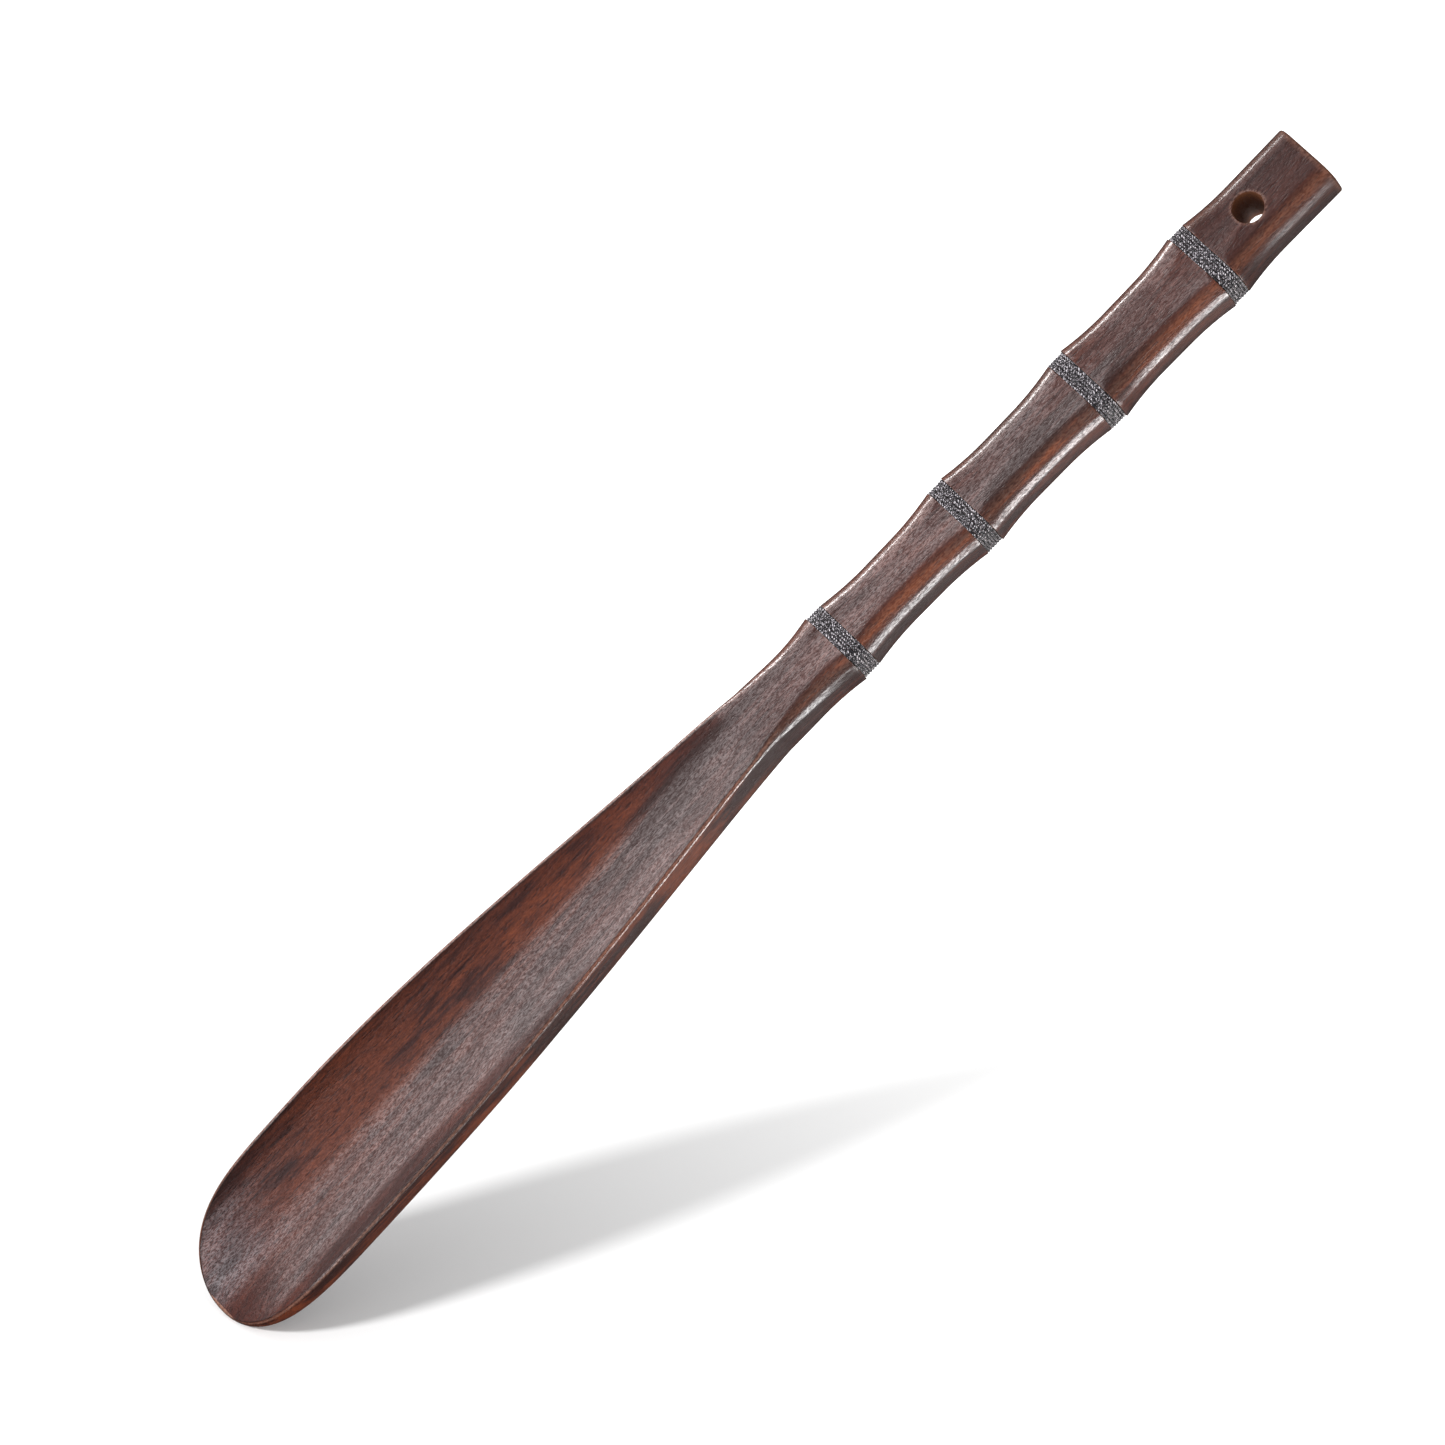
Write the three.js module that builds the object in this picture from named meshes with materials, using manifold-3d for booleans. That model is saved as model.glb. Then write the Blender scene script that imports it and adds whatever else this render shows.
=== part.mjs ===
// A long wooden shoehorn carved from one board: a handle shaped like a bamboo cane, cut into
// segments by grooves that hold cord bindings, and a long scooped blade with a round tip.
//
// Millimetres. The origin is the centre of the hanging hole, halfway through the handle. +Z runs
// up the handle, the hollow side of the blade faces -Y, and X runs across the width. Distances
// along the shoehorn are counted down from the top end of the handle.

import * as THREE from 'three';
import { LoftGeometry } from 'three/addons/geometries/LoftGeometry.js';
import { mergeVertices } from 'three/addons/utils/BufferGeometryUtils.js';
import Module from 'manifold-3d';

// Lengths
const TOP_SEGMENT_LENGTH = 33;
const SEGMENT_LENGTH = 37;
const NECK_LENGTH = 25;
const BLADE_LENGTH = 191.8;
const TIP_LENGTH = 48;

// Handle section: one waist width for each segment, from the top down
const SEGMENT_WIDTHS = [19.6, 19.4, 17.8, 16.7];
const SEGMENT_TAPER = 0.6;
const NECK_WIDTH = 16.9;
const HANDLE_THICKNESS = 14;
const HANDLE_FRONT_ROUND = 4;
const HANDLE_BACK_ROUND = 5;
const END_CHAMFER = 0.5;
const RIM_FLARE_WIDTH = 1.1;
const RIM_FLARE_THICKNESS = 0.5;
const RIM_FLARE_LENGTH = 14;

// Hanging hole
const HOLE_DIAMETER = 8;
const HOLE_DISTANCE = 19.5;

// Cord bindings
const CORD_DIAMETER = 0.7;
const CORD_TURNS = 6;
const CORD_CLEARANCE = 0.3;
const CORD_RECESS = 0.5;

// Blade section
const BLADE_WIDTH = 39;
const BLADE_LIP_ROUND = 1;
const BLADE_BACK_ROUND = 7;
const BLADE_BACK_DROP = 0.6;
const TROUGH_RADIUS = 26;
const TROUGH_ENTRY_DEPTH = 0.5;
const TROUGH_ENTRY_LENGTH = 8;
const TROUGH_DROP = 15.8;
const TIP_KICK = 2;
const TIP_THICKNESS = 1.8;
const TIP_FLAT_WIDTH = 1;
const BACK_SWEEP_LENGTH = 75;

// Shapes of the curves
const FLANK_EXPONENT = 1.15;
const TIP_EXPONENT = 4.5;
const TIP_KICK_EXPONENT = 4;
const BACK_SWEEP_EXPONENT = 2;
const LIP_FADE_LENGTH = 50;

// Fineness of the mesh
const TROUGH_STEPS = 7;
const FRONT_ROUND_STEPS = 4;
const BACK_ROUND_STEPS = 5;
const FLARE_STEPS = 4;
const BLADE_STEPS = 22;
const TIP_STEPS = 12;
const HOLE_STEPS = 32;

const COLOURS = { wood: 0x4a2417, cord: 0x1c1b1c };

// Worked out from the values above
const BINDING_COUNT = SEGMENT_WIDTHS.length;
const GROOVE_WIDTH = CORD_TURNS * CORD_DIAMETER + 2 * CORD_CLEARANCE;
const GROOVE_DEPTH = CORD_DIAMETER + CORD_CLEARANCE + CORD_RECESS;
const SEGMENT_PITCH = SEGMENT_LENGTH + GROOVE_WIDTH;
const NECK_START = TOP_SEGMENT_LENGTH + BINDING_COUNT * SEGMENT_PITCH - SEGMENT_LENGTH;
const BLADE_START = NECK_START + NECK_LENGTH;
const TOTAL_LENGTH = BLADE_START + BLADE_LENGTH;
const TIP_START = TOTAL_LENGTH - TIP_LENGTH;
const FRONT_PLANE = -HANDLE_THICKNESS / 2;
const BACK_PLANE = HANDLE_THICKNESS / 2;
const TIP_BACK = FRONT_PLANE + TROUGH_DROP + TIP_KICK + TIP_THICKNESS;

const grooveStart = (index) => TOP_SEGMENT_LENGTH + index * SEGMENT_PITCH;
const grooveEnd = (index) => grooveStart(index) + GROOVE_WIDTH;
const fraction = (value, start, end) => THREE.MathUtils.clamp((value - start) / (end - start), 0, 1);
const smooth = (value, start, end) => THREE.MathUtils.smoothstep(value, start, end);

// How far a segment has flared towards the rim beside the nearest groove, 0 at its waist, 1 at a rim.
function flareAt(distance) {
  let flare = 0;
  for (let index = 0; index < BINDING_COUNT; index += 1) {
    const gap = Math.max(grooveStart(index) - distance, distance - grooveEnd(index), 0);
    flare = Math.max(flare, 1 - gap / RIM_FLARE_LENGTH);
  }
  return flare ** 2;
}

// The handle's width without its flares. Each segment narrows a little on its way down, and a
// groove is as wide as the mean of the two segments beside it.
function waistWidthAt(distance) {
  const widthAtTop = (index) => (SEGMENT_WIDTHS[index] ?? NECK_WIDTH) + SEGMENT_TAPER / 2;
  for (let index = 0; index < BINDING_COUNT; index += 1) {
    const start = index === 0 ? 0 : grooveEnd(index - 1);
    const widthAtBottom = widthAtTop(index) - SEGMENT_TAPER;
    if (distance <= grooveStart(index)) {
      return widthAtTop(index) - SEGMENT_TAPER * fraction(distance, start, grooveStart(index));
    }
    if (distance < grooveEnd(index)) return (widthAtBottom + widthAtTop(index + 1)) / 2;
  }
  return widthAtTop(BINDING_COUNT) - SEGMENT_TAPER * fraction(distance, NECK_START, BLADE_START);
}

function halfWidthAt(distance) {
  const flank = fraction(distance, BLADE_START, TIP_START) ** FLANK_EXPONENT;
  const widening = (BLADE_WIDTH - waistWidthAt(BLADE_START)) / 2 * Math.sin(flank * Math.PI / 2);
  const full = waistWidthAt(distance) / 2 + RIM_FLARE_WIDTH * flareAt(distance) + widening;
  const rounding = Math.sqrt(1 - fraction(distance, TIP_START, TOTAL_LENGTH) ** TIP_EXPONENT);
  return TIP_FLAT_WIDTH / 2 + (full - TIP_FLAT_WIDTH / 2) * rounding;
}

// Depth of the bottom of the trough below the front plane: a straight slope that starts with a
// short scoop and turns back a little more steeply at the tip.
function troughDepthAt(distance) {
  const along = fraction(distance, BLADE_START, TOTAL_LENGTH);
  const slope = TROUGH_ENTRY_DEPTH + (TROUGH_DROP - TROUGH_ENTRY_DEPTH) * along;
  const kick = TIP_KICK * fraction(distance, TIP_START, TOTAL_LENGTH) ** TIP_KICK_EXPONENT;
  return slope * smooth(distance, BLADE_START, BLADE_START + TROUGH_ENTRY_LENGTH) + kick;
}

// The back drops a little through the neck and sweeps back over the last part of the blade.
function backAt(distance) {
  const drop = BLADE_BACK_DROP * smooth(distance, NECK_START, BLADE_START);
  const sweep = fraction(distance, TOTAL_LENGTH - BACK_SWEEP_LENGTH, TOTAL_LENGTH) ** BACK_SWEEP_EXPONENT;
  const sweepDrop = (TIP_BACK - BACK_PLANE - BLADE_BACK_DROP) * sweep;
  return BACK_PLANE + RIM_FLARE_THICKNESS * flareAt(distance) + drop + sweepDrop;
}

// One half of a cross-section, from the middle of the front to the middle of the back. The inset
// moves the whole outline inwards, as a groove does.
function halfSection(distance, inset = 0) {
  const fullHalfWidth = halfWidthAt(distance);
  const halfWidth = fullHalfWidth - inset;
  const front = FRONT_PLANE - RIM_FLARE_THICKNESS * flareAt(distance) + inset;
  const back = backAt(distance) - inset;
  const lipFade = smooth(distance, BLADE_START - LIP_FADE_LENGTH / 2, BLADE_START + LIP_FADE_LENGTH / 2);
  const fullRound = THREE.MathUtils.lerp(HANDLE_FRONT_ROUND, BLADE_LIP_ROUND, lipFade);
  const frontRound = Math.min(fullRound, fullHalfWidth / 2) - inset;
  const lipX = halfWidth - frontRound;
  const floor = FRONT_PLANE + troughDepthAt(distance);
  const surfaceAt = (x) => {
    const rise = TROUGH_RADIUS - Math.sqrt(TROUGH_RADIUS ** 2 - x ** 2);
    return Math.max(front, floor - rise);
  };
  const points = [];
  for (let step = 0; step < TROUGH_STEPS; step += 1) {
    const x = lipX * step / TROUGH_STEPS;
    points.push(new THREE.Vector2(x, surfaceAt(x)));
  }
  const lipY = surfaceAt(lipX);
  const lipRoundY = Math.min(frontRound, (back - lipY) / 4);
  const lip = new THREE.EllipseCurve(lipX, lipY + lipRoundY, frontRound, lipRoundY, -Math.PI / 2, 0);
  points.push(...lip.getPoints(FRONT_ROUND_STEPS));
  const bladeShare = smooth(distance, BLADE_START, TIP_START);
  const fullBackRound = THREE.MathUtils.lerp(HANDLE_BACK_ROUND, BLADE_BACK_ROUND, bladeShare) - inset;
  const backRoundX = Math.min(fullBackRound, halfWidth / 2);
  const backRoundY = Math.min(fullBackRound, (back - lipY) / 2);
  const corner = new THREE.EllipseCurve(
    halfWidth - backRoundX, back - backRoundY, backRoundX, backRoundY, 0, Math.PI / 2,
  );
  points.push(...corner.getPoints(BACK_ROUND_STEPS));
  points.push(new THREE.Vector2(0, back));
  return points;
}

// The whole outline at a distance, as a ring of points. It lies at its own distance down the
// shoehorn, or at the place given.
function sectionRing(distance, inset = 0, place = distance) {
  const half = halfSection(distance, inset);
  const height = HOLE_DISTANCE - place;
  const left = half.map((point) => new THREE.Vector3(-point.x, point.y, height));
  const right = half.slice(1, -1).map((point) => new THREE.Vector3(point.x, point.y, height));
  return [...left, ...right.reverse()];
}

// Rings from one distance to another; the spacing function turns an even fraction into a place.
function ringsBetween(start, end, steps, spacing = (share) => share) {
  const rings = [];
  for (let step = 0; step <= steps; step += 1) {
    rings.push(sectionRing(THREE.MathUtils.lerp(start, end, spacing(step / steps))));
  }
  return rings;
}

function topSegmentRings() {
  const chamfered = sectionRing(0, END_CHAMFER);
  const flareStart = TOP_SEGMENT_LENGTH - RIM_FLARE_LENGTH;
  const straight = sectionRing(END_CHAMFER);
  return [chamfered, straight, ...ringsBetween(flareStart, TOP_SEGMENT_LENGTH, FLARE_STEPS)];
}

// A ring inside a groove, the given depth below its rims. A groove has the same outline all the
// way across.
function grooveRing(index, depth, place) {
  return sectionRing(grooveStart(index) + GROOVE_WIDTH / 2, depth, place);
}

function grooveRings(index) {
  return [
    grooveRing(index, GROOVE_DEPTH, grooveStart(index)),
    grooveRing(index, GROOVE_DEPTH, grooveEnd(index)),
  ];
}

function segmentRings(index) {
  const start = grooveEnd(index);
  const end = grooveStart(index + 1);
  const upper = ringsBetween(start, start + RIM_FLARE_LENGTH, FLARE_STEPS);
  return [...upper, ...ringsBetween(end - RIM_FLARE_LENGTH, end, FLARE_STEPS)];
}

function bladeRings() {
  const entryEnd = BLADE_START + TROUGH_ENTRY_LENGTH;
  const neck = ringsBetween(NECK_START, NECK_START + RIM_FLARE_LENGTH, FLARE_STEPS);
  const entry = ringsBetween(BLADE_START - 1, entryEnd, FLARE_STEPS * 2);
  const flanks = ringsBetween(entryEnd, TIP_START, BLADE_STEPS).slice(1);
  const tip = ringsBetween(TIP_START, TOTAL_LENGTH, TIP_STEPS, (share) => 1 - (1 - share) ** 2);
  return [...neck, ...entry, ...flanks, ...tip.slice(1)];
}

// All the points of a section drawn together to its middle, which closes the end of a loft.
function closingRing(distance) {
  const ring = sectionRing(distance);
  const middle = new THREE.Vector3(0, (FRONT_PLANE + troughDepthAt(distance) + backAt(distance)) / 2, 0);
  middle.z = HOLE_DISTANCE - distance;
  return ring.map(() => middle.clone());
}

function bodyRings() {
  const rings = [closingRing(0), ...topSegmentRings()];
  for (let index = 0; index < BINDING_COUNT; index += 1) {
    rings.push(...grooveRings(index));
    rings.push(...(index + 1 < BINDING_COUNT ? segmentRings(index) : bladeRings()));
  }
  return [...rings, closingRing(TOTAL_LENGTH)];
}

// A surface through the rings with its shared corners merged and its empty triangles taken out.
function loft(rings) {
  const surface = new THREE.BufferGeometry().copy(new LoftGeometry(rings));
  surface.deleteAttribute('normal');
  surface.deleteAttribute('uv');
  const merged = mergeVertices(surface);
  const corners = merged.index.array;
  const kept = [];
  for (let start = 0; start < corners.length; start += 3) {
    const triangle = corners.slice(start, start + 3);
    if (new Set(triangle).size === 3) kept.push(...triangle);
  }
  merged.setIndex(kept);
  merged.computeVertexNormals();
  return merged;
}

const wasm = await Module();
wasm.setup();

function toSolid(geometry) {
  return new wasm.Manifold(new wasm.Mesh({
    numProp: 3,
    vertProperties: new Float32Array(geometry.attributes.position.array),
    triVerts: new Uint32Array(geometry.index.array),
  }));
}

function toGeometry(solid) {
  const mesh = solid.getMesh();
  const geometry = new THREE.BufferGeometry();
  geometry.setAttribute('position', new THREE.BufferAttribute(mesh.vertProperties, 3));
  geometry.setIndex(new THREE.BufferAttribute(mesh.triVerts, 1));
  geometry.computeVertexNormals();
  return geometry;
}

// A round cutter along Y, through both faces of the handle.
function drillGeometry() {
  const radius = HOLE_DIAMETER / 2;
  const drill = new THREE.CylinderGeometry(radius, radius, 2 * HANDLE_THICKNESS, HOLE_STEPS);
  drill.deleteAttribute('normal');
  drill.deleteAttribute('uv');
  return mergeVertices(drill);
}

function woodenBody() {
  const drilled = toSolid(loft(bodyRings())).subtract(toSolid(drillGeometry()));
  const wood = new THREE.MeshStandardMaterial({ color: COLOURS.wood, roughness: 0.38, metalness: 0 });
  const body = new THREE.Mesh(toGeometry(drilled), wood);
  body.name = 'wooden_body';
  return body;
}

// A closed band around the handle in a groove: down its outside and back up its inside.
function bindingRings(index) {
  const upper = grooveStart(index) + CORD_CLEARANCE;
  const lower = grooveEnd(index) - CORD_CLEARANCE;
  const inside = CORD_RECESS + CORD_DIAMETER;
  return [
    grooveRing(index, CORD_RECESS, upper),
    grooveRing(index, CORD_RECESS, lower),
    grooveRing(index, inside, lower),
    grooveRing(index, inside, upper),
    grooveRing(index, CORD_RECESS, upper),
  ];
}

function cordBinding(index) {
  const cord = new THREE.MeshStandardMaterial({ color: COLOURS.cord, roughness: 0.6, metalness: 0 });
  const binding = new THREE.Mesh(loft(bindingRings(index)), cord);
  binding.name = `cord_binding_${index + 1}`;
  return binding;
}

const shoehorn = new THREE.Group();
shoehorn.add(woodenBody());
for (let index = 0; index < BINDING_COUNT; index += 1) {
  shoehorn.add(cordBinding(index));
}

export default shoehorn;
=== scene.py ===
import math

import bmesh
import bpy
from mathutils import Matrix, Vector, noise


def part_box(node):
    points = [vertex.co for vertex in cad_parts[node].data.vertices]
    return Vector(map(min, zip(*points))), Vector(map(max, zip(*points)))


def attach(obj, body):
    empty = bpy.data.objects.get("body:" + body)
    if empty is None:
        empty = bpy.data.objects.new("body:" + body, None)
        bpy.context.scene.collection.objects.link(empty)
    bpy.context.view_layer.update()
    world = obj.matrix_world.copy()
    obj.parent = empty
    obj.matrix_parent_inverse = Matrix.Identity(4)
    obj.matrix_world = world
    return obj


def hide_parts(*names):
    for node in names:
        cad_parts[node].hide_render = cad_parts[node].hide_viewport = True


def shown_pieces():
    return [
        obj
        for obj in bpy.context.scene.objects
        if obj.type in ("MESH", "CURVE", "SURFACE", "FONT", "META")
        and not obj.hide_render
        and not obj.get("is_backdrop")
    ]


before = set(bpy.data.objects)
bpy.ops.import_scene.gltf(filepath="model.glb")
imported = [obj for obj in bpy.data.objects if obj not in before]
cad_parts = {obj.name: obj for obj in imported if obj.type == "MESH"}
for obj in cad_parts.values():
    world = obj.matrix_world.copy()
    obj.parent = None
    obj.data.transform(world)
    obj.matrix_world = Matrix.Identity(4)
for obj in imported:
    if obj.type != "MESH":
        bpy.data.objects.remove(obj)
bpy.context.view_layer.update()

bl_info = {
    "name": "Long Wooden Shoehorn",
    "version": (1, 0, 0),
    "blender": (4, 5, 0),
    "location": "3D View > Sidebar > Shoehorn",
    "description": "Builds a long wooden shoehorn with a bamboo-style handle and cord bindings",
    "category": "Add Mesh",
}

MM = 0.001
BINDINGS = sorted(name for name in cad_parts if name.startswith("cord_binding"))
VIEW_AZIMUTH = math.radians(25)
VIEW_ROLL = math.radians(45.8)
VIEW_HEIGHT = -0.1705
VIEW_DISTANCE = 1.919
VIEW_SHIFT_RIGHT = -8.48 * MM
VIEW_SHIFT_UP = 1.55 * MM
FLOOR_TILT = math.radians(31.2)
FLOOR_GAP = 0.3 * MM


# Numbers

def lerp(start, end, share):
    return start + (end - start) * share


def fraction(value, start, end):
    return min(max((value - start) / (end - start), 0.0), 1.0)


def smooth(value, start, end):
    share = fraction(value, start, end)
    return share * share * (3 - 2 * share)


def bump_at(value, centre, reach):
    """1 at the centre, falling smoothly to nearly 0 one reach away."""
    return math.exp(-((value - centre) / reach) ** 2 * 3)


# Properties

def length(name, description, default):
    return bpy.props.FloatProperty(
        name=name, description=description, default=default * MM, unit="LENGTH", precision=5)


def colour(name, description, default):
    return bpy.props.FloatVectorProperty(
        name=name, description=description, default=default, subtype="COLOR", min=0, max=1, precision=4)


class ShoehornBodySizes(bpy.types.PropertyGroup):
    segment_widths: bpy.props.FloatVectorProperty(
        name="Segment widths", description="Waist width of each handle segment, from the top down",
        size=4, default=(0.0196, 0.0194, 0.0178, 0.0167), unit="LENGTH", precision=5)
    segment_taper: length("Segment taper", "How much each segment narrows on its way down", 0.6)
    neck_width: length("Neck width", "Waist width of the neck above the blade", 16.9)
    neck_length: length("Neck length", "From the lowest binding to the blade", 25)
    handle_thickness: length("Handle thickness", "Front to back through a waist", 14)
    front_round: length("Front round", "Radius of the handle's front corners", 5)
    back_round: length("Back round", "Radius of the handle's back corners", 5)
    flare_width: length("Rim flare", "How far each rim flares sideways", 1.1)
    flare_thickness: length("Rim flare depth", "How far each rim flares to the front and back", 0.5)
    flare_length: length("Flare length", "Length over which a segment flares to its rim", 14)
    rim_round: length("Rim round", "Softening of the rims beside the grooves", 0.15)
    end_round: length("End round", "Softening of the top end", 0.7)
    groove_clearance: length("Groove clearance", "Gap between a binding and the groove walls", 0.3)
    groove_depth: length("Groove depth", "Depth of the grooves below their rims", 1.5)
    hole_diameter: length("Hole diameter", "Width of the hanging hole", 8)
    hole_round: length("Hole rim", "Softening of the hole's rims", 0.2)
    lip_round: length("Lip round", "Radius of the blade's front lip", 1)
    blade_back_round: length("Blade back round", "Radius of the blade's back corners", 7)
    back_drop: length("Back drop", "How much deeper the back lies behind the blade", 0.6)
    trough_radius: length("Trough radius", "Radius across the hollow of the blade", 26)
    trough_entry_depth: length("Trough entry", "Depth of the hollow where it starts", 0.5)
    trough_entry_length: length("Trough entry length", "Length over which the hollow starts", 8)
    trough_drop: length("Trough drop", "Depth of the hollow near the tip", 15.8)
    tip_length: length("Tip length", "Length of the rounded end of the blade", 48)
    tip_kick: length("Tip kick", "How far the tip turns back", 2)
    tip_thickness: length("Tip thickness", "Thickness of the edge at the tip", 1.8)
    back_sweep: length("Back sweep", "Length over which the back sweeps to the tip", 75)
    waviness: length("Hand-carved waviness", "Size of the unevenness left by carving", 0.05)


class ShoehornCordSizes(bpy.types.PropertyGroup):
    turns: bpy.props.IntProperty(
        name="Turns", description="Number of turns of cord in each groove", default=6, min=2)
    diameter: length("Cord diameter", "Thickness of the cord", 0.7)
    twist_pitch: length("Twist pitch", "Length of one full twist of the strands", 2.4)
    strands: bpy.props.IntProperty(
        name="Strands", description="Number of strands twisted together", default=3, min=2)
    lobe_depth: bpy.props.FloatProperty(
        name="Strand depth", description="How strongly the strands show", default=0.16,
        subtype="FACTOR", min=0, max=0.5)


class ShoehornColours(bpy.types.PropertyGroup):
    wood_dark: colour("Dark stain", "Darkest tone of the stained wood", (0.015, 0.0042, 0.0032))
    wood_middle: colour("Stain", "Middle tone of the stained wood", (0.05, 0.0092, 0.0045))
    wood_light: colour("Light stain", "Lightest tone, where the stain is thin", (0.086, 0.0165, 0.0055))
    # Also painted on the flanks as their lit tone.
    wood_thin: colour("Thin stain", "Orange-brown wood where the stain is thinnest", (0.16, 0.033, 0.005))
    # Also painted as a highlight: a crisp light line along the front corners, the blade's lip and round the
    # hole.
    wood_worn_and_highlight: colour("Worn wood", "Rubbed edges and arrises", (0.23, 0.12, 0.085))
    wood_raw: colour("Raw wood", "Inside of the hanging hole", (0.12, 0.045, 0.02))
    cord: colour("Cord", "Waxed cord", (0.007, 0.0065, 0.008))
    # Light grey of the raised fibres, also standing in for the cord's painted sparkle.
    cord_fibre_and_sparkle: colour("Cord fibres", "Raised fibres of the cord", (0.55, 0.53, 0.57))
    floor: colour("Floor", "Studio floor", (0.9, 0.9, 0.9))


# Shape of the wooden body

class BodyShape:
    """Cross-sections of the wooden body by distance down from the top end."""

    def __init__(self, sizes):
        low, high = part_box("wooden_body")
        self.sizes = sizes
        self.top = high.z
        self.total = high.z - low.z
        self.front = -sizes.handle_thickness / 2
        self.back = sizes.handle_thickness / 2
        self.half_width = high.x
        gap = sizes.groove_clearance
        boxes = [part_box(name) for name in BINDINGS]
        self.grooves = [(self.top - up.z - gap, self.top - down.z + gap) for down, up in boxes]
        self.neck_start = self.grooves[-1][1]
        self.blade_start = self.neck_start + sizes.neck_length
        self.tip_start = self.total - sizes.tip_length
        self.tip_back = high.y

    def flare_at(self, distance):
        gaps = [max(start - distance, distance - end, 0) for start, end in self.grooves]
        return max(0, 1 - min(gaps) / self.sizes.flare_length) ** 2

    def waist_at(self, distance):
        sizes = self.sizes
        widths = [*sizes.segment_widths, sizes.neck_width]
        starts = [0, *(end for _, end in self.grooves)]
        ends = [*(start for start, _ in self.grooves), self.blade_start]
        half_taper = sizes.segment_taper / 2
        for index, width in enumerate(widths):
            if distance <= ends[index] or index == len(widths) - 1:
                share = fraction(distance, starts[index], ends[index])
                return lerp(width + half_taper, width - half_taper, share)
            if distance < starts[index + 1]:
                return (width + widths[index + 1]) / 2

    def half_width_at(self, distance):
        flank = fraction(distance, self.blade_start, self.tip_start) ** 1.15
        widening = (self.half_width - self.waist_at(self.blade_start) / 2) * math.sin(flank * math.pi / 2)
        full = self.waist_at(distance) / 2 + self.sizes.flare_width * self.flare_at(distance) + widening
        rounding = math.sqrt(1 - fraction(distance, self.tip_start, self.total) ** 4.2)
        return lerp(0.4 * MM, full, rounding)

    def trough_at(self, distance):
        sizes = self.sizes
        along = fraction(distance, self.blade_start, self.total)
        slope = lerp(sizes.trough_entry_depth, sizes.trough_drop, along)
        kick = sizes.tip_kick * fraction(distance, self.tip_start, self.total) ** 4
        entry = smooth(distance, self.blade_start, self.blade_start + sizes.trough_entry_length)
        return slope * entry + kick

    def back_at(self, distance):
        sizes = self.sizes
        drop = sizes.back_drop * smooth(distance, self.neck_start, self.blade_start)
        sweep = fraction(distance, self.total - sizes.back_sweep, self.total) ** 2
        depth = (self.tip_back - self.back - sizes.back_drop) * sweep
        return self.back + sizes.flare_thickness * self.flare_at(distance) + drop + depth

    def half_section(self, distance, inset=0.0):
        """Points (x, y, wear and painted highlight, painted crease shade, thin stain and painted lit tone)
        from the middle of the front to that of the back.
        """
        sizes = self.sizes
        full_half = self.half_width_at(distance)
        half = full_half - inset
        front = self.front - sizes.flare_thickness * self.flare_at(distance) + inset
        back = self.back_at(distance) - inset
        fade = smooth(distance, self.neck_start + 4 * MM, self.blade_start + 12 * MM)
        front_round = min(lerp(sizes.front_round, sizes.lip_round, fade), full_half * 0.62) - inset
        lip_x = half - front_round
        floor = self.front + self.trough_at(distance)
        soft = 0.5 * MM * smooth(distance, self.blade_start - 1 * MM, self.blade_start + 5 * MM)
        in_blade = smooth(distance, self.blade_start - 4 * MM, self.blade_start + 8 * MM)
        # Painted lit tone: the lip's round and the flanks get the thin-stain orange, most on the blade,
        # standing in for the light the sides catch.
        flank = lerp(0.3, 0.9, in_blade)

        def surface(x):
            hollow = floor - (sizes.trough_radius - math.sqrt(sizes.trough_radius ** 2 - x * x))
            return (front + hollow + math.sqrt((front - hollow) ** 2 + soft ** 2)) / 2

        points = []
        for step in range(26):
            share = step / 26
            x = lip_x * (share + 0.35 * share * (1 - share))
            # Painted shade: a dark line where the hollow meets the lip, standing in for the shade in that
            # crease.
            crease_shade_share = bump_at(x, lip_x - 0.1 * MM, 0.45 * MM) * in_blade
            points.append((x, surface(x), 0.0, crease_shade_share, 0.0))
        lip_y = surface(lip_x)
        lip_depth = min(front_round, (back - lip_y) / 2.6)
        for step in range(9):
            angle = math.pi / 2 * step / 8
            # Painted highlight: a crisp line of the worn colour along the corner's round, standing in for
            # the light it catches.
            wear_and_highlight = bump_at(step, 3, 2.5) * lerp(0.25, 0.6, in_blade)
            crease_shade_share = in_blade if step == 0 else 0.0
            points.append((lip_x + front_round * math.sin(angle),
                           lip_y + lip_depth * (1 - math.cos(angle)), wear_and_highlight, crease_shade_share,
                           flank * step / 8))
        share = smooth(distance, self.blade_start, self.tip_start)
        full_round = lerp(sizes.back_round, sizes.blade_back_round, share) - inset
        round_x = min(full_round, half / 2)
        round_y = min(full_round, (back - lip_y) / 2)
        side_top, side_bottom = lip_y + lip_depth, back - round_y
        for step in range(1, 6):
            points.append((half, lerp(side_top, side_bottom, step / 6), 0.0, 0.0, flank))
        for step in range(10):
            angle = math.pi / 2 * step / 9
            points.append((half - round_x + round_x * math.cos(angle),
                           back - round_y + round_y * math.sin(angle), 0.0, 0.0,
                           flank * math.cos(angle)))
        for step in range(1, 11):
            points.append(((half - round_x) * (1 - step / 10), back, 0.0, 0.0, 0.0))
        return points

    def ring(self, distance, inset=0.0, place=None, wear_and_highlight=0.0, squeeze=1.0):
        """The whole outline from the middle of the front, as (position, wear and painted highlight, painted
        crease shade, thin stain and painted lit tone).
        """
        half = self.half_section(distance, inset)
        z = self.top - (distance if place is None else place)
        middle = (half[0][1] + half[-1][1]) / 2
        ring = []
        for side, points in ((-1, half), (1, half[-2:0:-1])):
            for x, y, edge, crease_shade_share, stain_and_lit_share in points:
                position = Vector((side * x, lerp(middle, y, squeeze), z))
                ring.append((position, max(wear_and_highlight, edge), crease_shade_share, max(stain_and_lit_share, self.thin_stain_and_lit_tone(position))))
        return ring

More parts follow.
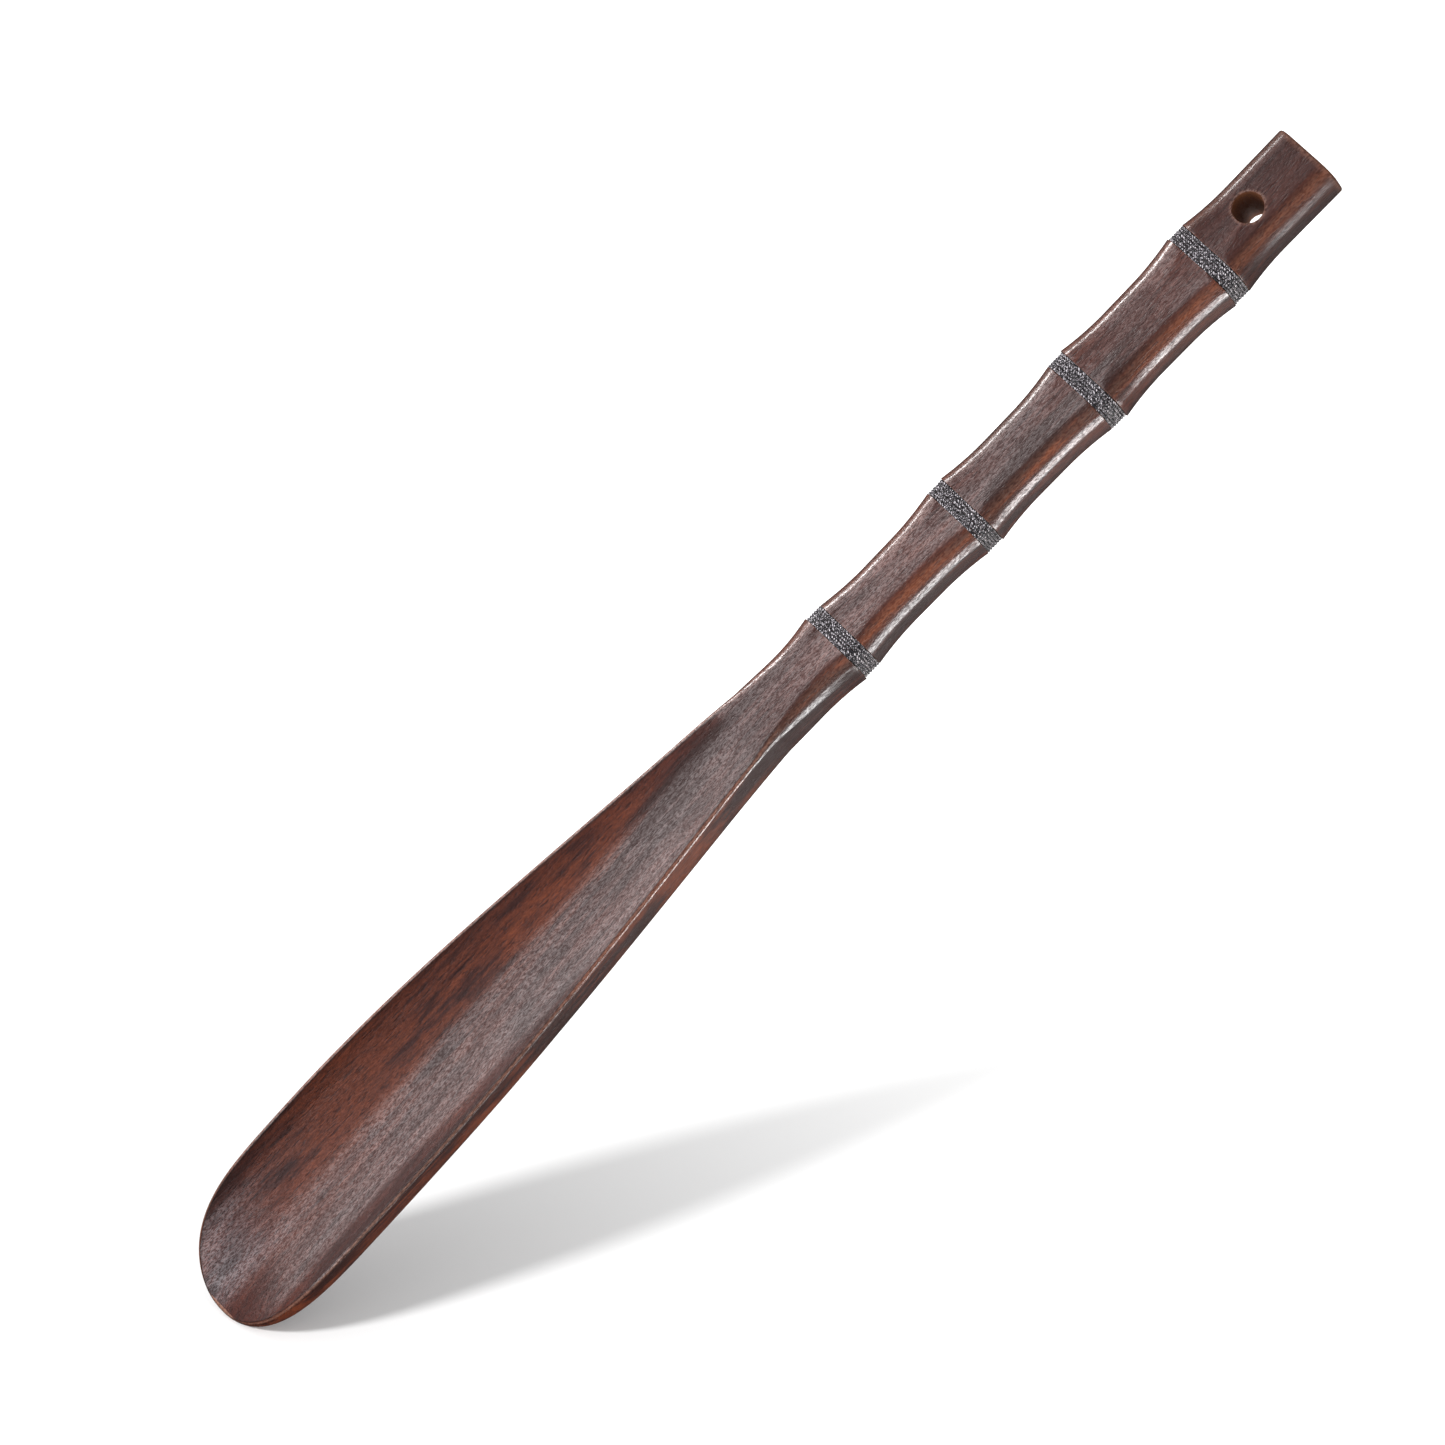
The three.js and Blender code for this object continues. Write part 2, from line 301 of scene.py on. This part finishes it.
    def thin_stain_and_lit_tone(self, position):
        """How thinly the stain lies: along one front corner of the handle and in half the blade. The
        painted lit tone on the flanks is added to it in ring.
        """
        distance = self.top - position.z
        if position.y > self.front + self.trough_at(distance) * 1.2 + 3.02 * MM:
            return 0.0
        full = self.half_width_at(distance)
        corner = lerp(self.sizes.front_round * 0.4, self.sizes.lip_round, smooth(
            distance, self.neck_start + 4 * MM, self.blade_start + 12 * MM))
        handle = bump_at(position.x, full - corner, 1.9 * MM)
        handle *= 1 - smooth(distance, self.blade_start - 12 * MM, self.blade_start + 4 * MM)
        blade = bump_at(position.x / full, -0.5, 0.75)
        blade *= smooth(distance, self.blade_start + 4 * MM, self.blade_start + 60 * MM)
        return max(handle, 0.6 * blade * (1 - smooth(distance, self.total - 40 * MM, self.total - 15 * MM)))

    def rings(self):
        sizes = self.sizes
        rim, end = sizes.rim_round, sizes.end_round
        rim_ring = self.ring(0, end * 1.1, wear_and_highlight=0.2)
        centre = Vector((0, 0, self.top))
        rings = [[(centre.lerp(position, share), *values) for position, *values in rim_ring]
                 for share in (0.02, 0.15, 0.35, 0.55, 0.75, 0.9, 1.0)]
        for step in range(6):
            angle = math.pi / 2 * step / 5
            rings.append(self.ring(end * (1 - math.cos(angle)), end * (1 - math.sin(angle)), wear_and_highlight=0.35))
        previous = end
        for start, stop in self.grooves:
            middle = (start + stop) / 2
            rings += self.between(previous, start - rim)
            rings += [self.ring(start - rim * 0.6, rim * 0.08, wear_and_highlight=0.3),
                      self.ring(start - rim * 0.22, rim * 0.32, wear_and_highlight=0.4),
                      self.ring(start, rim, wear_and_highlight=0.3),
                      self.ring(start, sizes.groove_depth * 0.6),
                      self.ring(middle, sizes.groove_depth, start + 0.05 * MM),
                      self.ring(middle, sizes.groove_depth, stop - 0.05 * MM),
                      self.ring(stop, sizes.groove_depth * 0.6),
                      self.ring(stop, rim, wear_and_highlight=0.3),
                      self.ring(stop + rim * 0.22, rim * 0.32, wear_and_highlight=0.4),
                      self.ring(stop + rim * 0.6, rim * 0.08, wear_and_highlight=0.3)]
            previous = stop + rim
        rings += self.between(previous, self.blade_start - 5 * MM)
        rings += self.between(self.blade_start - 5 * MM, self.blade_start + 14 * MM, 0.5 * MM)[1:]
        rings += self.between(self.blade_start + 14 * MM, self.tip_start, 1.3 * MM)[1:]
        edge = self.total - sizes.tip_thickness / 2
        steps = 40
        for step in range(1, steps):
            share = 1 - (1 - step / steps) ** 2
            rings.append(self.ring(lerp(self.tip_start, edge, share)))
        for step in range(9):
            angle = math.pi / 2 * step / 8
            distance = edge + (self.total - edge) * math.sin(angle)
            rings.append(self.ring(distance, wear_and_highlight=0.9, squeeze=max(math.cos(angle), 0.02)))
        return rings

    def between(self, start, end, spacing=1.2 * MM):
        count = max(2, round((end - start) / spacing))
        return [self.ring(lerp(start, end, step / count)) for step in range(count + 1)]


def carved(position, amount):
    """A position moved a little, as an uneven hand-carved surface lies."""
    offset = noise.noise_vector(Vector((position.x * 90, position.y * 90, position.z * 28)))
    return position + Vector((offset.x, offset.y, 0)) * amount


# Mesh helpers

def tube(bm, rings, *names):
    """A closed surface through rings of (position, value...), each one row of a rolled-up grid.

    The values of each point go to the layers of the given names.
    """
    count = len(rings[0])
    layers = [bm.verts.layers.float.new(name) for name in names]
    verts = bmesh.ops.create_grid(bm, x_segments=count, y_segments=len(rings) - 1, size=1)["verts"]
    for number, vert in enumerate(verts):
        row, column = divmod(number, count + 1)
        vert.co, *values = rings[row][column % count]
        for place, value in zip(layers, values):
            vert[place] = value
    seam = {verts[first + count]: verts[first] for first in range(0, len(verts), count + 1)}
    bmesh.ops.weld_verts(bm, targetmap=seam)
    open_edges = [edge for edge in bm.edges if edge.is_boundary]
    bmesh.ops.edgeloop_fill(bm, edges=open_edges)
    bmesh.ops.recalc_face_normals(bm, faces=bm.faces)


def to_object(bm, name):
    mesh = bpy.data.meshes.new(name)
    bm.to_mesh(mesh)
    bm.free()
    mesh.polygons.foreach_set("use_smooth", [True] * len(mesh.polygons))
    piece = bpy.data.objects.new(name, mesh)
    bpy.context.scene.collection.objects.link(piece)
    return piece


def fit(piece, material, node):
    """Gives a finished piece its material and its place in the frame."""
    piece.data.materials.append(material)
    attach(piece, "root")
    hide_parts(node)


# Pieces

def drill_hole(body, sizes):
    """Cuts the hanging hole with softened, slightly ragged rims."""
    bm = bmesh.new()
    radius, soft = sizes.hole_diameter / 2, sizes.hole_round
    face = sizes.handle_thickness / 2
    profile = [(-face - 2 * MM, 2.0), (-face - 0.1 * MM, 1.0)]
    profile += [(-face + soft * step / 4, (1 - step / 4) ** 2) for step in range(1, 5)]
    profile += [(-y, flare) for y, flare in reversed(profile)]
    rings = []
    for y, flare in profile:
        ring = []
        for step in range(72):
            angle = 2 * math.pi * step / 72
            ragged = noise.noise(Vector((math.cos(angle) * 4, math.sin(angle) * 4, y * 150)))
            reach = radius + soft * flare + ragged * 0.25 * MM * min(flare + 0.3, 1)
            reach -= 0.6 * MM * fraction(y, -face, face)
            ring.append((Vector((reach * math.cos(angle), y, reach * math.sin(angle))),))
        rings.append(ring)
    tube(bm, rings)
    drill = to_object(bm, "drill")
    cut = body.modifiers.new("Hole", "BOOLEAN")
    cut.operation = "DIFFERENCE"
    cut.object = drill
    cut.solver = "EXACT"
    whole = body.evaluated_get(bpy.context.evaluated_depsgraph_get())
    drilled = bpy.data.meshes.new_from_object(whole)
    body.modifiers.remove(cut)
    old = body.data
    body.data = drilled
    bpy.data.meshes.remove(old)
    bpy.data.meshes.remove(drill.data)
    drilled.set_sharp_from_angle(angle=math.radians(38))


def build_body(sizes, colours):
    shape = BodyShape(sizes)
    rings = [[(carved(position, sizes.waviness), *values) for position, *values in ring]
             for ring in shape.rings()]
    bm = bmesh.new()
    tube(bm, rings, "wear_and_highlight", "painted_crease_shade", "thin_stain_and_lit_tone")
    body = to_object(bm, "lacquered_wood_body")
    drill_hole(body, sizes)
    fit(body, wood_material(colours), "wooden_body")
    return body


def groove_outline(shape, distance, depth):
    """Evenly spaced points of a groove's outline, and the way out at each, as flat vectors."""
    ring = [position.xy for position, *_ in shape.ring(distance, depth)]
    steps = [(ring[(index + 1) % len(ring)] - point).length for index, point in enumerate(ring)]
    around = sum(steps)
    count = 200
    points, index, walked = [], 0, 0.0
    for number in range(count):
        target = around * number / count
        while walked + steps[index] < target:
            walked += steps[index]
            index += 1
        share = (target - walked) / max(steps[index], 1e-9)
        points.append(ring[index].lerp(ring[(index + 1) % len(ring)], share))
    outward = []
    for number, point in enumerate(points):
        along = points[(number + 1) % count] - points[number - 1]
        outward.append(Vector((-along.y, along.x)).normalized())
    if outward[0].dot(points[0]) < 0:
        outward = [-way for way in outward]
    return points, outward, around


def build_binding(name, sizes, body_sizes, material):
    shape = BodyShape(body_sizes)
    down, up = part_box(name)
    distance = shape.top - (down.z + up.z) / 2
    radius = sizes.diameter / 2
    depth = body_sizes.groove_depth - radius - body_sizes.groove_clearance * 2.2
    points, outward, around = groove_outline(shape, distance, depth)
    count = len(points)
    steps = sizes.turns * count
    flattened = 1.08
    height = up.z - down.z + body_sizes.groove_clearance * 1.7 - sizes.diameter * flattened
    seed = BINDINGS.index(name) * 7.3
    rings = []
    for step in range(steps + 1):
        # The cord starts and ends in the middle of the back, and crosses to its next turn there.
        place = (step + count // 2) % count
        turn, walked = divmod(step, count)
        drop = min(turn + smooth(walked, 0.85 * count, count), sizes.turns - 1)
        along = step / count * around
        z = (up.z + down.z) / 2 + height * (0.5 - drop / (sizes.turns - 1))
        slack = noise.noise(Vector((along * 130, seed, 0))) * 0.05 * MM
        z += noise.noise(Vector((along * 90, seed, 5))) * 0.04 * MM
        twist = 2 * math.pi * along / sizes.twist_pitch
        ring = []
        for corner in range(12):
            angle = 2 * math.pi * corner / 12
            lobe = 1 + sizes.lobe_depth * (math.cos(sizes.strands * (angle - twist)) - 0.5)
            out = (radius * lobe * math.cos(angle) + slack) * outward[place]
            flat = points[place] + out
            position = Vector((flat.x, flat.y, z + radius * lobe * flattened * math.sin(angle)))
            ring.append((position, along, angle, lobe))
        rings.append(ring)
    bm = bmesh.new()
    tube(bm, rings, "along", "angle", "lobe")
    binding = to_object(bm, name.replace("cord_binding", "wound_cord"))
    fit(binding, material, name)
    return binding


# Material helpers

def add(tree, kind, inputs=None, **settings):
    node = tree.nodes.new(kind)
    for key, value in settings.items():
        setattr(node, key, value)
    for socket, value in (inputs or {}).items():
        if isinstance(value, bpy.types.NodeSocket):
            tree.links.new(value, node.inputs[socket])
        else:
            node.inputs[socket].default_value = value
    return node


def maths(tree, operation, *values):
    node = add(tree, "ShaderNodeMath", dict(enumerate(values)), operation=operation)
    return node.outputs[0]


def fade(tree, value, low, high, to_low=0.0, to_high=1.0):
    """The value read smoothly from low to high, as to_low to to_high."""
    node = add(tree, "ShaderNodeMapRange", {
        "Value": value, "From Min": low, "From Max": high, "To Min": to_low, "To Max": to_high,
    }, interpolation_type="SMOOTHSTEP")
    return node.outputs["Result"]


def blend(tree, share, first, second, kind="MIX"):
    node = add(tree, "ShaderNodeMix", data_type="RGBA", blend_type=kind)
    for number, value in ((0, share), (6, first), (7, second)):
        if isinstance(value, bpy.types.NodeSocket):
            tree.links.new(value, node.inputs[number])
        elif number:
            node.inputs[number].default_value = (*value[:3], 1)
        else:
            node.inputs[number].default_value = value
    return node.outputs[2]


def mottle_group():
    """Shared node group: noise from 0 to 1 whose spots have about the given sizes in metres."""
    group = bpy.data.node_groups.get("mottle")
    if group:
        return group
    group = bpy.data.node_groups.new("mottle", "ShaderNodeTree")
    for name in ("Place", "Spot Size"):
        group.interface.new_socket(name, in_out="INPUT", socket_type="NodeSocketVector")
    for name in ("Detail", "Roughness", "Distortion"):
        group.interface.new_socket(name, in_out="INPUT", socket_type="NodeSocketFloat")
    group.interface.new_socket("Value", in_out="OUTPUT", socket_type="NodeSocketFloat")
    given = add(group, "NodeGroupInput").outputs
    scaled = add(group, "ShaderNodeVectorMath", {
        0: given["Place"], 1: given["Spot Size"]}, operation="DIVIDE")
    spots = add(group, "ShaderNodeTexNoise", {
        "Vector": scaled.outputs[0], "Scale": 1.0, "Detail": given["Detail"],
        "Roughness": given["Roughness"], "Distortion": given["Distortion"]})
    add(group, "NodeGroupOutput", {"Value": spots.outputs["Fac"]})
    return group


def mottle(tree, place, size, detail=3.0, roughness=0.5, distortion=0.0):
    node = tree.nodes.new("ShaderNodeGroup")
    node.node_tree = mottle_group()
    tree.links.new(place, node.inputs["Place"])
    node.inputs["Spot Size"].default_value = size
    node.inputs["Detail"].default_value = detail
    node.inputs["Roughness"].default_value = roughness
    node.inputs["Distortion"].default_value = distortion
    return node.outputs["Value"]


def layer(tree, name):
    return add(tree, "ShaderNodeAttribute", attribute_name=name).outputs["Fac"]


def new_material(name):
    material = bpy.data.materials.new(name)
    material.use_nodes = True
    tree = material.node_tree
    return material, tree, tree.nodes["Principled BSDF"]


# Materials

def wood_material(colours):
    """Dark stained hardwood under a satin lacquer, with rubbed edges and a raw bore."""
    material, tree, shader = new_material("stained_lacquered_wood")
    place = add(tree, "ShaderNodeTexCoord").outputs["Object"]
    apart = add(tree, "ShaderNodeSeparateXYZ", {0: place})
    x, y, z = apart.outputs

    broad = mottle(tree, place, (13 * MM, 13 * MM, 75 * MM), 4, 0.6, 0.4)
    streaks = mottle(tree, place, (1.5 * MM, 1.5 * MM, 34 * MM), 4, 0.6, 0.2)
    grain = mottle(tree, place, (0.5 * MM, 0.5 * MM, 7 * MM), 3, 0.65)
    pores = mottle(tree, place, (0.5 * MM, 0.5 * MM, 3.2 * MM), 1, 0.5)
    speckle = mottle(tree, place, (0.3 * MM, 0.3 * MM, 1.0 * MM), 2, 0.5)

    stain = maths(tree, "ADD",
                  maths(tree, "MULTIPLY", broad, 0.65), maths(tree, "MULTIPLY", streaks, 0.35))
    tone = blend(tree, fade(tree, stain, 0.4, 0.54), colours.wood_dark, colours.wood_middle)
    tone = blend(tree, fade(tree, stain, 0.5, 0.66), tone, colours.wood_light)
    # Thin stain, plus the painted lit tone on the flanks.
    stain_and_lit_share = maths(tree, "MULTIPLY", layer(tree, "thin_stain_and_lit_tone"), fade(tree, stain, 0.45, 0.54, 0.05, 1.0))
    tone = blend(tree, stain_and_lit_share, tone, colours.wood_thin)
    tone = blend(tree, fade(tree, grain, 0.35, 0.7, 0.0, 0.45), tone, colours.wood_dark)
    tone = blend(tree, fade(tree, pores, 0.56, 0.7, 0.0, 0.6), tone, colours.wood_dark)
    granules = fade(tree, speckle, 0.36, 0.64)
    between_granules = blend(tree, 0.5, tone, colours.wood_dark)
    tone = blend(tree, maths(tree, "MULTIPLY", granules, 0.7), between_granules, tone)

    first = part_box(BINDINGS[0])[1].z
    top_segment = fade(tree, z, first - 0.5 * MM, first + 1 * MM, 0.0, 0.45)
    tone = blend(tree, top_segment, tone, colours.wood_dark)

    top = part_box("wooden_body")[1].z
    bent = maths(tree, "ADD", y, maths(tree, "MULTIPLY", broad, 6 * MM))
    rings = maths(tree, "SINE", maths(tree, "MULTIPLY", bent, 6000))
    end_grain = blend(tree, fade(tree, rings, -1, 1, 0.2, 0.8), colours.wood_light, colours.wood_thin)
    tone = blend(tree, fade(tree, z, top - 0.25 * MM, top - 0.1 * MM, 0.0, 0.7), tone, end_grain)

    # Worn colour on rubbed edges, plus the painted highlight along the front corners and the lip.
    wear_and_highlight_share = maths(tree, "MULTIPLY", layer(tree, "wear_and_highlight"), fade(tree, speckle, 0.35, 0.6, 0.3, 1.0))
    tone = blend(tree, wear_and_highlight_share, tone, colours.wood_worn_and_highlight)
    # Painted crease shade: a near-black line along the inner edge of the blade's lip.
    tone = blend(tree, maths(tree, "MULTIPLY", layer(tree, "painted_crease_shade"), 0.8), tone, (0.01, 0.004, 0.003))

    squares = maths(tree, "ADD", maths(tree, "MULTIPLY", x, x), maths(tree, "MULTIPLY", z, z))
    radius = maths(tree, "SQRT", squares)
    bore = fade(tree, radius, 3.95 * MM, 4.1 * MM, 1.0, 0.0)
    # A lighter speckled ring round the hole: rubbed wood and a painted rim highlight.
    rim = maths(tree, "MULTIPLY",
                fade(tree, radius, 4.25 * MM, 5.0 * MM, 1.0, 0.0), fade(tree, speckle, 0.42, 0.55))
    tone = blend(tree, maths(tree, "MULTIPLY", rim, 0.3), tone, colours.wood_worn_and_highlight)
    tone = blend(tree, bore, tone, colours.wood_raw)
    tree.links.new(tone, shader.inputs["Base Color"])

    roughness = fade(tree, streaks, 0.3, 0.7, 0.42, 0.5)
    roughness = maths(tree, "ADD", roughness, maths(tree, "MULTIPLY", bore, 0.2))
    tree.links.new(roughness, shader.inputs["Roughness"])
    shader.inputs["Specular IOR Level"].default_value = 0.15
    shader.inputs["Coat Roughness"].default_value = 0.22
    gloss = maths(tree, "ADD", maths(tree, "MULTIPLY", granules, 0.75), 0.2)
    gloss = maths(tree, "MULTIPLY", gloss, fade(tree, streaks, 0.38, 0.62, 0.7, 1.2))
    gloss = maths(tree, "MULTIPLY", gloss, fade(tree, bore, 0, 1, 1.0, 0.0))
    tree.links.new(gloss, shader.inputs["Coat Weight"])

    height = maths(tree, "ADD", maths(tree, "MULTIPLY", grain, 0.3), maths(tree, "MULTIPLY", speckle, 0.7))
    height = maths(tree, "SUBTRACT", height, fade(tree, pores, 0.55, 0.7, 0.0, 0.35))
    relief = add(tree, "ShaderNodeBump", {"Strength": 1.0, "Distance": 0.2 * MM, "Height": height})
    tree.links.new(relief.outputs[0], shader.inputs["Normal"])
    return material


def cord_material(colours):
    """Waxed black cord with raised fibres along its strands; their light flecks on the strand crowns are
    also painted sparkle.
    """
    material, tree, shader = new_material("waxed_cord")
    place = add(tree, "ShaderNodeTexCoord").outputs["Object"]
    along, angle = layer(tree, "along"), layer(tree, "angle")
    spun = add(tree, "ShaderNodeCombineXYZ", {
        0: maths(tree, "MULTIPLY", along, 1 / (1.1 * MM)),
        1: maths(tree, "MULTIPLY", maths(tree, "COSINE", angle), 2.2),
        2: maths(tree, "MULTIPLY", maths(tree, "SINE", angle), 2.2)})
    fibre = add(tree, "ShaderNodeTexNoise", {
        "Vector": spun.outputs[0], "Scale": 1.6, "Detail": 3.0, "Roughness": 0.6}).outputs["Fac"]
    fleck = mottle(tree, place, (0.28 * MM, 0.28 * MM, 0.7 * MM), 1)
    # Light flecks on the strand crowns: raised fibres and painted sparkle.
    fibre_and_sparkle = maths(tree, "MULTIPLY", fade(tree, fibre, 0.32, 0.45), fade(tree, fleck, 0.52, 0.6))
    crown = fade(tree, layer(tree, "lobe"), 0.8, 1.02)
    tone = blend(tree, maths(tree, "MULTIPLY", fibre_and_sparkle, crown), colours.cord, colours.cord_fibre_and_sparkle)
    tree.links.new(tone, shader.inputs["Base Color"])
    tree.links.new(fade(tree, fibre, 0.3, 0.7, 0.7, 0.5), shader.inputs["Roughness"])
    shader.inputs["Specular IOR Level"].default_value = 0.3
    relief = add(tree, "ShaderNodeBump", {"Strength": 0.7, "Distance": 0.06 * MM, "Height": fibre})
    tree.links.new(relief.outputs[0], shader.inputs["Normal"])
    return material


def floor_material(colours, tip):
    """Matt floor seen only from above, so that it never hides the shoehorn. It glows more the further from
    the tip: painted light that fades its cast shadow out.
    """
    material, tree, shader = new_material("studio_floor")
    place = add(tree, "ShaderNodeTexCoord").outputs["Object"]
    tone = mottle(tree, place, (0.4, 0.4, 0.4), 2)
    shade = blend(tree, fade(tree, tone, 0.3, 0.7), [c * 0.985 for c in colours.floor], colours.floor)
    tree.links.new(shade, shader.inputs["Base Color"])
    shader.inputs["Roughness"].default_value = 0.9
    shader.inputs["Specular IOR Level"].default_value = 0.1
    reach = add(tree, "ShaderNodeVectorMath", {0: place, 1: tip}, operation="DISTANCE").outputs["Value"]
    # Painted light: the floor glows more away from the tip, so the shoehorn's cast shadow fades out.
    glow = fade(tree, reach, 0.03, 0.35, 0.06, 0.6)
    tree.links.new(glow, shader.inputs["Emission Color"])
    shader.inputs["Emission Strength"].default_value = 1.0
    clear = add(tree, "ShaderNodeBsdfTransparent")
    below = add(tree, "ShaderNodeNewGeometry").outputs["Backfacing"]
    seen = add(tree, "ShaderNodeMixShader", {0: below, 1: shader.outputs[0], 2: clear.outputs[0]})
    tree.links.new(seen.outputs[0], tree.nodes["Material Output"].inputs["Surface"])
    return material


# Stage

def view_axes():
    """The camera's right, up and back directions."""
    side = Vector((math.cos(VIEW_AZIMUTH), math.sin(VIEW_AZIMUTH), 0))
    back = Vector((math.sin(VIEW_AZIMUTH), -math.cos(VIEW_AZIMUTH), 0))
    rise = Vector((0, 0, 1))
    right = math.cos(VIEW_ROLL) * rise + math.sin(VIEW_ROLL) * side
    up = math.sin(VIEW_ROLL) * rise - math.cos(VIEW_ROLL) * side
    return right, up, back


def way_to(azimuth, rise=0.0):
    """The direction in degrees round the long axis and up; azimuth 0 is straight in front."""
    turn, tilt = math.radians(azimuth), math.radians(rise)
    return Vector((math.sin(turn) * math.cos(tilt), -math.cos(turn) * math.cos(tilt), math.sin(tilt)))


def add_panel(name, azimuth, middle, distance, width, height, glow,
              tint=(1, 1, 1), matt=True, sheen=True):
    """A soft panel beside the long axis, at the height given and facing the axis."""
    way = way_to(azimuth)
    data = bpy.data.lights.new(name, "AREA")
    data.shape = "RECTANGLE"
    data.size, data.size_y = width, height
    data.energy = glow * math.pi * width * height
    data.color = tint
    light = bpy.data.objects.new(name, data)
    light.location = Vector((0, 0, middle)) + way * distance
    light.rotation_euler = way.to_track_quat("Z", "Y").to_euler()
    light.visible_camera = False
    light.visible_diffuse = matt
    light.visible_glossy = sheen
    light.light_linking.receiver_collection = bpy.data.collections["Shoehorn"]
    bpy.context.scene.collection.objects.link(light)


def add_sun(name, azimuth, rise, strength):
    """The main light, wide enough for soft shadows."""
    data = bpy.data.lights.new(name, "SUN")
    data.energy = strength
    data.angle = math.radians(10)
    light = bpy.data.objects.new(name, data)
    light.rotation_euler = way_to(azimuth, rise).to_track_quat("Z", "Y").to_euler()
    light.visible_glossy = False
    bpy.context.scene.collection.objects.link(light)


def build_stage(colours):
    scene = bpy.context.scene
    scene.view_settings.view_transform = "Standard"
    right, up, back = view_axes()
    normal = math.cos(FLOOR_TILT) * up + math.sin(FLOOR_TILT) * back
    away = normal.cross(right)

    low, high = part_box("wooden_body")
    tip = Vector((0, high.y, low.z)) - normal * FLOOR_GAP
    bm = bmesh.new()
    bmesh.ops.create_grid(bm, x_segments=8, y_segments=8, size=4)
    bm.transform(Matrix.Translation(tip) @ Matrix((right, away, normal)).transposed().to_4x4())
    floor = to_object(bm, "studio_floor")
    floor.data.materials.append(floor_material(colours, tip))
    floor.visible_glossy = False
    floor.visible_shadow = False
    floor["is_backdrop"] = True

    world = bpy.data.worlds.new("Studio")
    scene.world = world
    world.use_nodes = True
    tree = world.node_tree
    rays = add(tree, "ShaderNodeLightPath").outputs
    level = maths(tree, "ADD", maths(tree, "MULTIPLY", rays["Is Camera Ray"], 0.35), 0.7)
    level = maths(tree, "SUBTRACT", level, maths(tree, "MULTIPLY", rays["Is Glossy Ray"], 0.65))
    tree.nodes["Background"].inputs["Color"].default_value = (1, 1, 1, 1)
    tree.links.new(level, tree.nodes["Background"].inputs["Strength"])

    shoehorn = bpy.data.collections.new("Shoehorn")
    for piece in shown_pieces():
        shoehorn.objects.link(piece)
    add_sun("key", -20.1, -4.5, 2.3)
    add_panel("left_wide", -48, -0.29, 0.9, 1.45, 0.66, 4.6, (1.0, 0.9, 0.9))
    add_panel("left_core", -48, -0.26, 0.9, 0.55, 0.46, 5.6, (0.85, 0.93, 1.0))
    add_panel("tip_sheen", 8, -0.8, 0.9, 1.4, 0.34, 5.8, (0.98, 0.93, 0.98), matt=False)
    add_panel("left_edge", -72, -0.05, 0.6, 0.08, 0.24, 42, matt=False)
    add_panel("right_handle", 113, -0.075, 0.5, 0.36, 0.21, 18, matt=False)
    add_panel("right_blade", 95, -0.28, 0.6, 0.1, 0.28, 11, matt=False)
    add_panel("right_fill", 95, -0.3, 0.8, 0.6, 0.5, 8, (1.0, 0.86, 0.75), sheen=False)

    camera = bpy.data.objects.new("camera", bpy.data.cameras.new("camera"))
    camera.data.lens = 200
    camera.data.sensor_width = 36
    aim = Vector((0, 0, VIEW_HEIGHT)) + VIEW_SHIFT_RIGHT * right + VIEW_SHIFT_UP * up
    camera.matrix_world = (Matrix.Translation(aim + back * VIEW_DISTANCE)
                           @ Matrix((right, up, back)).transposed().to_4x4())
    scene.collection.objects.link(camera)
    scene.camera = camera


# Operators

class SHOEHORN_OT_body(bpy.types.Operator):
    """Build the carved and lacquered wooden body"""
    bl_idname = "shoehorn.body"
    bl_label = "Wooden Body"

    def execute(self, context):
        build_body(context.scene.shoehorn_body, context.scene.shoehorn_colours)
        return {"FINISHED"}


class SHOEHORN_OT_bindings(bpy.types.Operator):
    """Wind the cord round the handle in its four grooves"""
    bl_idname = "shoehorn.bindings"
    bl_label = "Cord Bindings"

    def execute(self, context):
        scene = context.scene
        material = cord_material(scene.shoehorn_colours)
        for name in BINDINGS:
            build_binding(name, scene.shoehorn_cord, scene.shoehorn_body, material)
        return {"FINISHED"}


class SHOEHORN_OT_stage(bpy.types.Operator):
    """Set up the floor, the lights and the camera"""
    bl_idname = "shoehorn.stage"
    bl_label = "Stage"

    def execute(self, context):
        build_stage(context.scene.shoehorn_colours)
        return {"FINISHED"}


class SHOEHORN_PT_panel(bpy.types.Panel):
    bl_idname = "SHOEHORN_PT_panel"
    bl_label = "Long Wooden Shoehorn"
    bl_space_type = "VIEW_3D"
    bl_region_type = "UI"
    bl_category = "Shoehorn"

    def draw(self, context):
        for operator in OPERATORS:
            self.layout.operator(operator.bl_idname)
        for name in GROUPS:
            group = getattr(context.scene, name)
            box = self.layout.box()
            for key in group.__annotations__:
                box.prop(group, key)


GROUPS = {
    "shoehorn_body": ShoehornBodySizes,
    "shoehorn_cord": ShoehornCordSizes,
    "shoehorn_colours": ShoehornColours,
}
OPERATORS = (SHOEHORN_OT_body, SHOEHORN_OT_bindings, SHOEHORN_OT_stage)
CLASSES = (*GROUPS.values(), *OPERATORS, SHOEHORN_PT_panel)


def register():
    for item in CLASSES:
        bpy.utils.register_class(item)
    for name, group in GROUPS.items():
        setattr(bpy.types.Scene, name, bpy.props.PointerProperty(type=group))


def unregister():
    for name in GROUPS:
        delattr(bpy.types.Scene, name)
    for item in reversed(CLASSES):
        bpy.utils.unregister_class(item)


def main():
    register()
    bpy.ops.shoehorn.body()
    bpy.ops.shoehorn.bindings()
    bpy.ops.shoehorn.stage()


if __name__ == "__main__":
    main()
